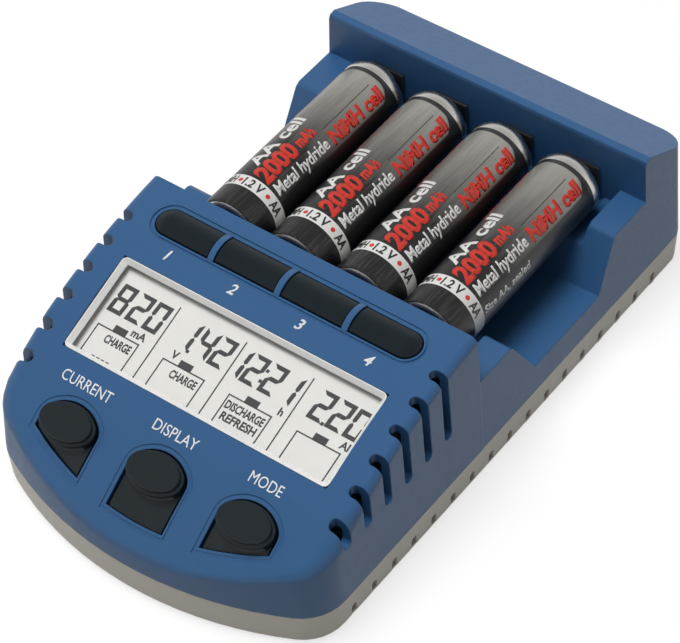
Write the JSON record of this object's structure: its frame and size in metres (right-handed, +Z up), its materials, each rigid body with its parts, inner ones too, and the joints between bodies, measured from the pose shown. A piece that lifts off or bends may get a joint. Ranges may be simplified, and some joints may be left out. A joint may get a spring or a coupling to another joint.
{
  "type": "battery charger",
  "caption": "Desktop charger with a sloping display console, push keys and an open bay that holds round cells between sliding and fixed contacts.",
  "frame": {"origin": "middle of the footprint, on the surface the feet stand on", "axes": "+X to the right of someone who reads the display, +Y from the display towards the rear bar, +Z up"},
  "size_m": [0.077, 0.1322, 0.0378],
  "materials": {
    "blue_plastic": "satin moulded",
    "beige_plastic": "satin moulded",
    "charcoal_plastic": "satin moulded",
    "black_plastic": "matt",
    "white_plastic": "matt",
    "clear_plastic": "gloss",
    "lcd": "satin",
    "conductive_rubber": "matt",
    "circuit_board": "semi-gloss",
    "contact_metal": "nickel-plated",
    "steel": "zinc-plated",
    "cell": "printed sleeve on a steel can",
    "cable": "matt",
    "foot_rubber": "matt"
  },
  "bodies": {
    "root": {"upper_shell": "blue_plastic", "base_shell": "beige_plastic", "display_lens": "clear_plastic", "lcd_panel": "lcd", "lcd_frame": "black_plastic", "contact_strips": "conductive_rubber", "display_board": "circuit_board", "main_board": "circuit_board", "round_key_switches": "black_plastic", "slot_key_switches": "black_plastic", "power_socket": "black_plastic", "capacitors": "black_plastic", "charge_transistors": "black_plastic", "board_cable": "cable", "housing_screws": "steel", "board_screws": "steel", "display_screws": "steel", "rubber_feet": "foot_rubber", "contact_spring_1": "steel", "button_contact_1": "contact_metal", "cell_1": "cell", "contact_spring_2": "steel", "button_contact_2": "contact_metal", "cell_2": "cell", "contact_spring_3": "steel", "button_contact_3": "contact_metal", "cell_3": "cell", "contact_spring_4": "steel", "button_contact_4": "contact_metal", "cell_4": "cell"},
    "current_key": {"current_key": "charcoal_plastic"},
    "display_key": {"display_key": "charcoal_plastic"},
    "mode_key": {"mode_key": "charcoal_plastic"},
    "slot_key_1": {"slot_key_1": "charcoal_plastic"},
    "slot_key_2": {"slot_key_2": "charcoal_plastic"},
    "slot_key_3": {"slot_key_3": "charcoal_plastic"},
    "slot_key_4": {"slot_key_4": "charcoal_plastic"},
    "sliding_contact_1": {"sliding_contact_1": "contact_metal"},
    "sliding_contact_2": {"sliding_contact_2": "contact_metal"},
    "sliding_contact_3": {"sliding_contact_3": "contact_metal"},
    "sliding_contact_4": {"sliding_contact_4": "contact_metal"}
  },
  "joints": [
    {"name": "current_key_press", "type": "slide", "parent": "root", "child": "current_key", "axis": [0, 0.3486, -0.9373], "range_m": [0, 0.0005], "stiffness_N_per_m": 600},
    {"name": "display_key_press", "type": "slide", "parent": "root", "child": "display_key", "axis": [0, 0.3486, -0.9373], "range_m": [0, 0.0005], "stiffness_N_per_m": 600},
    {"name": "mode_key_press", "type": "slide", "parent": "root", "child": "mode_key", "axis": [0, 0.3486, -0.9373], "range_m": [0, 0.0005], "stiffness_N_per_m": 600},
    {"name": "slot_key_1_press", "type": "slide", "parent": "root", "child": "slot_key_1", "axis": [0, 0.1655, -0.9862], "range_m": [0, 0.0005], "stiffness_N_per_m": 600},
    {"name": "slot_key_2_press", "type": "slide", "parent": "root", "child": "slot_key_2", "axis": [0, 0.1655, -0.9862], "range_m": [0, 0.0005], "stiffness_N_per_m": 600},
    {"name": "slot_key_3_press", "type": "slide", "parent": "root", "child": "slot_key_3", "axis": [0, 0.1655, -0.9862], "range_m": [0, 0.0005], "stiffness_N_per_m": 600},
    {"name": "slot_key_4_press", "type": "slide", "parent": "root", "child": "slot_key_4", "axis": [0, 0.1655, -0.9862], "range_m": [0, 0.0005], "stiffness_N_per_m": 600},
    {"name": "sliding_contact_1_slide", "type": "slide", "parent": "root", "child": "sliding_contact_1", "axis": [0, -1, 0], "range_m": [0, 0.002], "stiffness_N_per_m": 400, "deforming": ["contact_spring_1"]},
    {"name": "sliding_contact_2_slide", "type": "slide", "parent": "root", "child": "sliding_contact_2", "axis": [0, -1, 0], "range_m": [0, 0.002], "stiffness_N_per_m": 400, "deforming": ["contact_spring_2"]},
    {"name": "sliding_contact_3_slide", "type": "slide", "parent": "root", "child": "sliding_contact_3", "axis": [0, -1, 0], "range_m": [0, 0.002], "stiffness_N_per_m": 400, "deforming": ["contact_spring_3"]},
    {"name": "sliding_contact_4_slide", "type": "slide", "parent": "root", "child": "sliding_contact_4", "axis": [0, -1, 0], "range_m": [0, 0.002], "stiffness_N_per_m": 400, "deforming": ["contact_spring_4"]}
  ]
}
